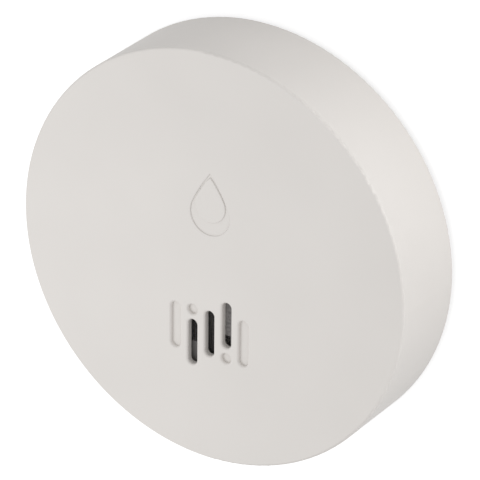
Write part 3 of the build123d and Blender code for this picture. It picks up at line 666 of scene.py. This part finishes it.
def weave_tree(finish: Finish) -> Tree:
    """Make a tree that weaves a round plain-weave mesh about each point.

    Args:
        finish: The threads' finish.

    Returns:
        A tree with the pitch, the radii of a thread and of the disc, and the rise as inputs.
    """
    tree, given = new_tree("plain-weave mesh", ("Pitch", "Thread Radius", "Disc Radius", "Rise"))
    pitch, disc = given.outputs["Pitch"], given.outputs["Disc Radius"]
    span = add_node(tree, "ShaderNodeMath", {0: disc, 1: pitch}, operation="DIVIDE")
    half = add_node(tree, "ShaderNodeMath", {0: span.outputs[0]}, operation="FLOOR")
    # One thread in the middle, and as many on each side of it.
    count = add_node(
        tree, "ShaderNodeMath", {0: half.outputs[0], 1: 2.0, 2: 1.0}, operation="MULTIPLY_ADD"
    )
    edge = add_node(tree, "ShaderNodeMath", {0: half.outputs[0], 1: pitch}, operation="MULTIPLY")
    start = add_node(tree, "ShaderNodeMath", {0: 0.0, 1: edge.outputs[0]}, operation="SUBTRACT")
    first = add_node(tree, "ShaderNodeCombineXYZ", {"Y": start.outputs[0]})
    apart = add_node(tree, "ShaderNodeCombineXYZ", {"Y": pitch})
    row = add_node(
        tree,
        "GeometryNodeMeshLine",
        {"Count": count.outputs[0], "Start Location": first.outputs[0], "Offset": apart.outputs[0]},
        mode="OFFSET",
    )
    position = add_node(tree, "GeometryNodeInputPosition")
    spot = add_node(tree, "ShaderNodeSeparateXYZ", {0: position.outputs[0]})
    # A thread reaches as far to each side as the round disc lets it.
    rim = add_node(tree, "ShaderNodeMath", {0: disc, 1: 2.0}, operation="POWER")
    away = add_node(tree, "ShaderNodeMath", {0: spot.outputs["Y"], 1: 2.0}, operation="POWER")
    left = add_node(
        tree, "ShaderNodeMath", {0: rim.outputs[0], 1: away.outputs[0]}, operation="SUBTRACT"
    )
    chord = add_node(tree, "ShaderNodeMath", {0: left.outputs[0]}, operation="SQRT")
    reach = add_node(tree, "ShaderNodeCombineXYZ", {"X": chord.outputs[0], "Y": 1.0, "Z": 1.0})
    ends = {"Start": (-1, 0, 0), "End": (1, 0, 0)}
    straight = add_node(tree, "GeometryNodeCurvePrimitiveLine", ends)
    laid = add_node(
        tree,
        "GeometryNodeInstanceOnPoints",
        {"Points": row.outputs[0], "Instance": straight.outputs[0], "Scale": reach.outputs[0]},
    )
    lines = add_node(tree, "GeometryNodeRealizeInstances", {"Geometry": laid.outputs[0]})
    step = add_node(tree, "ShaderNodeMath", {0: pitch, 1: STEPS_PER_PITCH}, operation="DIVIDE")
    fine = add_node(
        tree,
        "GeometryNodeResampleCurve",
        {"Curve": lines.outputs[0], "Length": step.outputs[0]},
        mode="LENGTH",
    )
    # It passes over one crossing thread and under the next.
    wave = given.outputs["Rise"]
    for axis in ("X", "Y"):
        turn = add_node(
            tree, "ShaderNodeMath", {0: spot.outputs[axis], 1: math.pi}, operation="MULTIPLY"
        )
        phase = add_node(tree, "ShaderNodeMath", {0: turn.outputs[0], 1: pitch}, operation="DIVIDE")
        sway = add_node(tree, "ShaderNodeMath", {0: phase.outputs[0]}, operation="COSINE")
        crimp = {0: wave, 1: sway.outputs[0]}
        wave = add_node(tree, "ShaderNodeMath", crimp, operation="MULTIPLY").outputs[0]
    lift = add_node(tree, "ShaderNodeCombineXYZ", {"Z": wave})
    bent = add_node(
        tree, "GeometryNodeSetPosition", {"Geometry": fine.outputs[0], "Offset": lift.outputs[0]}
    )
    section = add_node(
        tree,
        "GeometryNodeCurvePrimitiveCircle",
        {"Resolution": THREAD_SIDES, "Radius": given.outputs["Thread Radius"]},
    )
    warp = add_node(
        tree,
        "GeometryNodeCurveToMesh",
        {"Curve": bent.outputs[0], "Profile Curve": section.outputs[0], "Fill Caps": True},
    )
    # A half turn over swaps over and under, so the two sets of threads pass each other.
    weft = add_node(
        tree,
        "GeometryNodeTransform",
        {"Geometry": warp.outputs[0], "Rotation": (math.pi, 0, math.pi / 2)},
    )
    cloth = add_node(tree, "GeometryNodeJoinGeometry", {0: warp.outputs[0]})
    tree.links.new(weft.outputs[0], cloth.inputs[0])
    placed = add_node(
        tree,
        "GeometryNodeInstanceOnPoints",
        {"Points": given.outputs["Geometry"], "Instance": cloth.outputs[0]},
    )
    close_tree(tree, placed.outputs[0], finish)
    return tree


@dataclass
class Shell:
    """The white housing and the seal under its rim."""

    def build(self) -> None:
        """Dress the shell."""
        dress({"front_housing": HOUSING_ABS, "cover_gasket": SILICONE})


@dataclass
class Underside:
    """The cover with its screws, feet, electrodes and pairing button."""

    stud_ring_mm: float = 0.12

    def build(self) -> None:
        """Dress the cover and what it carries."""
        dress({"rear_cover": COVER_ABS, "cover_screws": ZINC_STEEL, "mounting_screws": ZINC_STEEL})
        dress({f"rubber_foot_{number}": FOOT_TPE for number in (1, 2, 3)})
        dress({"pairing_button": BUTTON_ABS, "button_seal": SILICONE})
        dress({"pairing_switch": CHIP_EPOXY, "switch_plunger": HOLDER_ABS})
        for number in (1, 2):
            self.dress_electrode(number)

    def dress_electrode(self, number: int) -> None:
        """Dress one electrode, with turning rings about its own axis.

        Args:
            number: The electrode's number.
        """
        # Turned on a lathe from stainless bar: fine bright rings on the head.
        steel = Metal(
            f"Stainless steel, turned {number}",
            "C9CACB",
            "B5B7B9",
            0.22,
            marks=Marks.TURNED,
            mark_mm=self.stud_ring_mm,
            axis_mm=tuple(middle(f"probe_stud_{number}") / MM),
            relief_mm=0.003,
        )
        dress({f"probe_stud_{number}": steel, f"probe_nut_{number}": steel})
        dress({f"probe_seal_{number}": SILICONE, f"probe_spring_{number}": NICKEL_WIRE})


@dataclass
class Sounder:
    """The alarm sounder behind the grille, with its foam, tape and woven mesh."""

    thread_pitch: float = 0.36
    thread_radius: float = 0.1
    weave_margin: float = 0.9
    tape_opening: float = 8.3
    tape_corner: tuple[float, float] = (-1.8, -2.4)
    tape_points: int = 144
    tape_inset: float = 0.04

    def build(self) -> None:
        """Dress the sounder, weave its mesh and tape it down."""
        dress({"buzzer_base": SOUNDER_PBT, "buzzer_case": SOUNDER_PBT, "buzzer_plate": BRASS_SHEET})
        dress({"buzzer_ceramic": PIEZO, "buzzer_pins": NICKEL_WIRE, "sound_gasket": FOAM})
        dress({"sound_mesh": THREAD})
        self.build_mesh()
        self.build_tape()

    def build_mesh(self) -> None:
        """Weave the splash mesh in the place of its flat disc."""
        low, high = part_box("sound_mesh")
        rise = (high.z - low.z) / 2 - self.thread_radius * MM
        sizes = {
            "Pitch": self.thread_pitch * MM,
            "Thread Radius": self.thread_radius * MM,
            "Disc Radius": (self.tape_opening + self.weave_margin) * MM,
            "Rise": rise,
        }
        mesh = grow("sound_mesh_weave", weave_tree(THREAD), sizes, [(low + high) / 2])
        mesh.data.shade_smooth()
        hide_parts("sound_mesh")

    def opening(self, angle: float) -> float:
        """Give the reach of the tape's opening, round but for one square corner.

        Args:
            angle: Direction from the middle of the mesh, in radians.

        Returns:
            The distance to the tape's edge, in millimetres.
        """
        across, along = math.cos(angle), math.sin(angle)
        if across >= 0 or along >= 0:
            return self.tape_opening
        corner = max(self.tape_corner[0] / across, self.tape_corner[1] / along)
        return min(self.tape_opening, corner)

    def build_tape(self) -> None:
        """Cut the flat tape that holds the mesh, as a closed ring."""
        low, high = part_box("sound_mesh")
        center = (low + high) / 2
        outer = (high.x - low.x) / 2 - self.tape_inset * MM
        turn = 2 * math.pi / self.tape_points
        corner = math.atan2(self.tape_corner[1], self.tape_corner[0]) % (2 * math.pi)
        angles = sorted({i * turn for i in range(self.tape_points)} | {corner})
        loops = []
        for inside, z in ((False, low.z), (False, high.z), (True, high.z), (True, low.z)):
            loop = []
            for angle in angles:
                radius = self.opening(angle) * MM if inside else outer
                across, along = radius * math.cos(angle), radius * math.sin(angle)
                loop.append((center.x + across, center.y + along, z))
            loops.append(loop)
        count = len(angles)
        faces = []
        for ring in range(len(loops)):
            below, above = ring * count, (ring + 1) % len(loops) * count
            for i in range(count):
                j = (i + 1) % count
                faces.append((below + i, below + j, above + j, above + i))
        mesh = bpy.data.meshes.new("sound_mesh_tape")
        mesh.from_pydata([point for loop in loops for point in loop], [], faces)
        mesh.materials.append(TAPE.material())
        tape = bpy.data.objects.new("sound_mesh_tape", mesh)
        bpy.context.scene.collection.objects.link(tape)
        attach(tape, HOUSING_BODY)
        log.info("sound_mesh_tape: %d faces", len(mesh.polygons))


@dataclass(frozen=True)
class ChipRow:
    """A row of chip parts that starts beside a larger part."""

    beside: str
    offset: tuple[float, float]
    count: int


@dataclass
class Electronics:
    """The circuit board and what is soldered to it."""

    chip_sides: int = 4
    chip_length: float = 1.6
    chip_width: float = 0.8
    chip_height: float = 0.5
    chip_taper: float = 0.94
    cap_length: float = 0.36
    cap_proud: float = 0.03
    cap_taper: float = 0.96
    fillet_reach: float = 0.45
    fillet_height: float = 0.3
    fillet_taper: float = 0.6
    row_pitch: float = 1.5
    capacitor_row: ChipRow = ChipRow("reservoir_capacitor", (-1.5, -5.6), 5)
    module_row: ChipRow = ChipRow("wireless_module", (-4.0, -10.6), 6)
    other_rows: tuple[ChipRow, ...] = (
        ChipRow("controller_chip", (0.8, -4.3), 2),
        ChipRow("step_up_coil", (-1.5, -4.4), 3),
        ChipRow("status_led", (-5.0, 0.0), 2),
    )
    castellation_sides: int = 12
    castellation_pitch: float = 1.5
    castellation_size: float = 0.8
    castellation_taper: float = 0.75
    antenna_legs: int = 7
    antenna_margin: float = 0.9
    antenna_width: float = 0.5
    antenna_thickness: float = 0.06
    track_count: int = 3
    track_pitch: float = 0.45
    track_width: float = 0.25
    track_thickness: float = 0.06
    track_bend: float = 1.2
    track_clearance: float = 0.4
    joint_sides: int = 16
    joint_tip: float = 0.9
    joint_spread: float = 2.2
    joint_height: float = 0.6
    window_radius: float = 0.42

    def build(self) -> None:
        """Dress the board's parts and add the small ones."""
        dress({"circuit_board": BOARD_MASK, "wireless_module": MODULE_MASK})
        dress({"module_shield": TINPLATE, "controller_chip": CHIP_EPOXY, "step_up_coil": FERRITE})
        dress({"reservoir_capacitor": CAN_ALUMINIUM, "light_guide": ACRYLIC})
        self.dress_light()
        self.build_chips()
        self.build_castellations()
        self.build_antenna()
        self.build_tracks()
        self.build_pin_joints()

    def dress_light(self) -> None:
        """Dress the status light: a white case round a yellow window."""
        # Moulded white resin with a phosphor window: pale, with a warm yellow spot.
        lamp = Banded(
            "White resin with phosphor window",
            "E9E7E0",
            "E3C64A",
            0.35,
            axis_mm=tuple(middle("status_led") / MM),
            middle_mm=self.window_radius,
        )
        dress({"status_led": lamp})

    def spots(self, row: ChipRow) -> list[Vector]:
        """Find where the parts of a row stand on the board.

        Args:
            row: The row.

        Returns:
            The foot of each part, in metres.
        """
        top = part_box("circuit_board")[1].z
        start = middle(row.beside) + Vector((*row.offset, 0)) * MM
        shifts = [number * self.row_pitch * MM for number in range(row.count)]
        return [Vector((start.x + shift, start.y, top)) for shift in shifts]

    def build_chips(self) -> None:
        """Solder rows of chip parts to the board: bodies, end caps and solder fillets."""
        rows = (self.capacitor_row, self.module_row, *self.other_rows)
        bodies = [spot for row in rows for spot in self.spots(row)]
        shift = Vector((0, (self.chip_length - self.cap_length) / 2 * MM, 0))
        ends = [body + side * shift for body in bodies for side in (-1, 1)]
        block = {
            "Sides": self.chip_sides,
            "Length": self.chip_width,
            "Width": self.chip_length,
            "Height": self.chip_height,
        }
        cap = {
            "Sides": self.chip_sides,
            "Length": self.chip_width + 2 * self.cap_proud,
            "Width": self.cap_length + 2 * self.cap_proud,
            "Height": self.chip_height + self.cap_proud,
        }
        fillet = {
            "Sides": self.chip_sides,
            "Length": self.chip_width + self.fillet_reach,
            "Width": self.cap_length + self.fillet_reach,
            "Height": self.fillet_height,
        }
        self.place("chip_bodies", CHIP_GLAZE, block, self.chip_taper, "chip_black", bodies)
        self.place("chip_end_caps", TINPLATE, cap, self.cap_taper, "shield_tin", ends)
        self.place("chip_solder", SOLDER, fillet, self.fillet_taper, "shield_tin", ends)

    def place(
        self,
        name: str,
        finish: Finish,
        size: dict[str, float],
        taper: float,
        slot: str,
        points: list[Vector],
    ) -> None:
        """Stand studs of one size on points of the board.

        Args:
            name: The piece's name.
            finish: The studs' finish.
            size: Sides, and length, width and height in millimetres.
            taper: Width of the top over width of the foot.
            slot: The record's material slot; not used.
            points: Where the studs stand, in metres.
        """
        values = {key: value if key == "Sides" else value * MM for key, value in size.items()}
        grow(name, stud_tree(finish), {**values, "Taper": taper}, points)

    def build_castellations(self) -> None:
        """Solder the module's plated edge notches to the board."""
        low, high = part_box("wireless_module")
        pitch = self.castellation_pitch * MM
        count = int((high.y - low.y) / pitch) - 1
        first = (low.y + high.y - (count - 1) * pitch) / 2
        steps = [first + i * pitch for i in range(count)]
        points = [Vector((x, y, low.z)) for x in (low.x, high.x) for y in steps]
        size = {
            "Sides": self.castellation_sides,
            "Length": self.castellation_size,
            "Width": self.castellation_size,
            "Height": (high.z - low.z) / MM + self.cap_proud,
        }
        taper = self.castellation_taper
        self.place("module_edge_solder", SOLDER, size, taper, "shield_tin", points)

    def build_antenna(self) -> None:
        """Run the folded antenna over the module's free end."""
        low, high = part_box("wireless_module")
        margin = self.antenna_margin * MM
        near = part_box("module_shield")[1].y + margin
        far = high.y - margin
        pitch = (high.x - low.x - 2 * margin) / (self.antenna_legs - 1)
        points = []
        for leg in range(self.antenna_legs):
            x = low.x + margin + leg * pitch
            ends = (near, far) if leg % 2 == 0 else (far, near)
            points += [Vector((x, y, high.z)) for y in ends]
        edges = [(i, i + 1) for i in range(len(points) - 1)]
        sizes = {"Width": self.antenna_width * MM, "Thickness": self.antenna_thickness * MM}
        grow("module_antenna", track_tree(GOLD_PAD), sizes, points, edges)

    def build_tracks(self) -> None:
        """Run copper tracks from the parts on the left to those on the right, round the sounder."""
        away = Vector((0, (self.chip_length + self.fillet_reach) / 2 * MM, 0))
        starts = [spot - away for spot in self.spots(self.capacitor_row)[-self.track_count :]]
        ends = [spot - away for spot in self.spots(self.module_row)[: self.track_count]]
        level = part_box("buzzer_base")[0].y - self.track_clearance * MM
        bend = self.track_bend * MM
        points, edges = [], []
        for start, end in zip(reversed(starts), ends):
            turns = (
                (start.x, start.y),
                (start.x, level + bend),
                (start.x + bend, level),
                (end.x - bend, level),
                (end.x, level + bend),
                (end.x, end.y),
            )
            first = len(points)
            edges += [(first + i, first + i + 1) for i in range(len(turns) - 1)]
            points += [Vector((x, y, start.z)) for x, y in turns]
            level -= self.track_pitch * MM
        sizes = {"Width": self.track_width * MM, "Thickness": self.track_thickness * MM}
        grow("board_tracks", track_tree(TRACK_MASK), sizes, points, edges)

    def build_pin_joints(self) -> None:
        """Solder the sounder's pins under the board, each in a cone that narrows down the pin."""
        low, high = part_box("buzzer_pins")
        radius = (high.y - low.y) / 2
        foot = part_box("circuit_board")[0].z - self.joint_height * MM
        points = [Vector((x, low.y + radius, foot)) for x in (low.x + radius, high.x - radius)]
        size = {
            "Sides": self.joint_sides,
            "Length": self.joint_tip,
            "Width": self.joint_tip,
            "Height": self.joint_height,
        }
        self.place("pin_solder", SOLDER, size, self.joint_spread, "shield_tin", points)


@dataclass
class BatteryPack:
    """The holder with its two cells, contacts and springs."""

    jacket_fold_mm: float = 4.2

    def build(self) -> None:
        """Dress the pack."""
        dress({"battery_holder": HOLDER_ABS, "series_contact": NICKEL_STRIP})
        dress({"positive_contact": NICKEL_STRIP, "negative_contact": NICKEL_STRIP})
        for number in (1, 2):
            dress({f"battery_spring_{number}": NICKEL_WIRE})
            dress({f"battery_cell_{number}": self.jacket(number)})

    def jacket(self, number: int) -> Finish:
        """Give a cell its plain film jacket, folded over the rims of a bare steel can.

        Args:
            number: The cell's number.

        Returns:
            The cell's finish.
        """
        # Shrunk film with a low gloss over the side, nickelled steel at the two ends.
        return Banded(
            f"Slate film shrunk on nickelled steel {number}",
            "4A5058",
            "C9C5BC",
            0.36,
            ior=1.55,
            relief_mm=0.004,
            axis_mm=tuple(middle(f"battery_cell_{number}") / MM),
            across=(0.0, 1.0, 1.0),
            middle_mm=self.jacket_fold_mm,
            middle_metallic=1.0,
        )


@dataclass
class Studio:
    """Floor, lights and camera of the photograph.

    The floor and the lamps are measured in metres, the camera in millimetres and degrees.
    """

    floor_reach: float = 4.0
    floor_color: str = "BCBCBC"
    floor_glow: float = 0.7
    world_level: float = 0.84
    fill_watts: float = 0.11
    fill_size: tuple[float, float] = (0.1, 0.1)
    fill_stand: Triple = (209.0, 0.17, 0.2)
    key_watts: float = 0.134
    key_size: tuple[float, float] = (0.14, 0.014)
    key_stand: Triple = (30.0, 0.2, 0.0085)
    lens: float = 300.0
    clip_start: float = 10.0
    azimuth: float = 42.3
    elevation: float = 49.74
    roll: float = -124.2
    distance: float = 710.6
    target: Triple = (3.73, 3.34, 13.78)

    def build(self) -> None:
        """Set up the whole studio."""
        bpy.context.scene.view_settings.view_transform = "Standard"
        self.build_floor()
        self.build_world()
        self.build_lamp("left_softbox", self.fill_watts, self.fill_size, self.fill_stand)
        self.build_lamp("low_softbox", self.key_watts, self.key_size, self.key_stand)
        self.build_camera()

    @staticmethod
    def seen_directly(tree: Tree) -> Socket:
        """Tell the rays that show the background from those that only carry light.

        Args:
            tree: The node tree of the floor or of the room.

        Returns:
            One for camera, glossy and transmission rays, and zero for the others.
        """
        path = add_node(tree, "ShaderNodeLightPath").outputs
        seen = path["Is Camera Ray"]
        for ray in ("Is Glossy Ray", "Is Transmission Ray"):
            either = add_node(tree, "ShaderNodeMath", {0: seen, 1: path[ray]}, operation="MAXIMUM")
            seen = either.outputs[0]
        return seen

    def build_floor(self) -> None:
        """Lay a pale floor that reads as white to the camera and keeps a soft shadow."""
        mesh = bpy.data.meshes.new("floor")
        reach = self.floor_reach
        corners = [(-reach, -reach, 0), (reach, -reach, 0), (reach, reach, 0), (-reach, reach, 0)]
        mesh.from_pydata(corners, [], [(0, 1, 2, 3)])
        floor = bpy.data.objects.new("floor", mesh)
        bpy.context.scene.collection.objects.link(floor)
        material = bpy.data.materials.new("Matt paper sweep")
        material.use_nodes = True
        tree = material.node_tree
        tree.nodes.clear()
        seen = self.seen_directly(tree)
        paper = add_node(tree, "ShaderNodeBsdfDiffuse", {"Color": linear(self.floor_color)})
        glow = add_node(tree, "ShaderNodeEmission", {"Strength": self.floor_glow})
        lit = add_node(tree, "ShaderNodeAddShader", {0: paper.outputs[0], 1: glow.outputs[0]})
        looks = {0: seen, 1: paper.outputs[0], 2: lit.outputs[0]}
        sweep = add_node(tree, "ShaderNodeMixShader", looks)
        add_node(tree, "ShaderNodeOutputMaterial", {"Surface": sweep.outputs[0]})
        mesh.materials.append(material)

    def build_world(self) -> None:
        """Fill the room with even light, and show it as white behind the floor."""
        world = bpy.data.worlds.new("Studio room")
        bpy.context.scene.world = world
        world.use_nodes = True
        tree = world.node_tree
        tree.nodes.clear()
        seen = self.seen_directly(tree)
        level = add_node(
            tree, "ShaderNodeMapRange", {"Value": seen, "To Min": self.world_level, "To Max": 1.0}
        )
        room = add_node(
            tree,
            "ShaderNodeBackground",
            {"Color": linear("FFFFFF"), "Strength": level.outputs["Result"]},
        )
        add_node(tree, "ShaderNodeOutputWorld", {"Surface": room.outputs[0]})

    def build_lamp(self, name: str, watts: float, size: tuple[float, float], stand: Triple) -> None:
        """Add one rectangular lamp that faces the disc.

        Args:
            name: The lamp's name.
            watts: Its power.
            size: Width and height in metres.
            stand: Direction in degrees, distance out and height, in metres.
        """
        lamp = bpy.data.lights.new(name, "AREA")
        lamp.shape = "RECTANGLE"
        lamp.size, lamp.size_y = size
        lamp.energy = watts
        softbox = bpy.data.objects.new(name, lamp)
        softbox.visible_camera = False
        bpy.context.scene.collection.objects.link(softbox)
        angle = math.radians(stand[0])
        place = Vector((stand[1] * math.cos(angle), stand[1] * math.sin(angle), stand[2]))
        aim = middle("front_housing") - place
        turn = aim.to_track_quat("-Z", "Y").to_matrix().to_4x4()
        softbox.matrix_world = Matrix.Translation(place) @ turn

    def build_camera(self) -> None:
        """Place the camera where the photograph was taken from."""
        data = bpy.data.cameras.new("camera")
        data.lens = self.lens
        data.clip_start = self.clip_start * MM
        camera = bpy.data.objects.new("camera", data)
        bpy.context.scene.collection.objects.link(camera)
        degrees = (self.azimuth, self.elevation, self.roll)
        azimuth, elevation, roll = (math.radians(angle) for angle in degrees)
        level = Vector((-math.sin(azimuth), math.cos(azimuth), 0))
        ahead = Vector((math.cos(azimuth), math.sin(azimuth), 0))
        back = ahead * math.cos(elevation) + Vector((0, 0, math.sin(elevation)))
        right = math.cos(roll) * level + math.sin(roll) * back.cross(level)
        turn = Matrix((right, back.cross(right), back)).transposed().to_4x4()
        place = Vector(self.target) * MM + back * self.distance * MM
        camera.matrix_world = Matrix.Translation(place) @ turn
        bpy.context.scene.camera = camera


def main() -> None:
    """Build everything in order."""
    logging.basicConfig(level=logging.INFO, format="%(name)s: %(message)s")
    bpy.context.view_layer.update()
    for part in (Shell(), Underside(), Sounder(), Electronics(), BatteryPack(), Studio()):
        part.build()


if __name__ == "__main__":
    main()
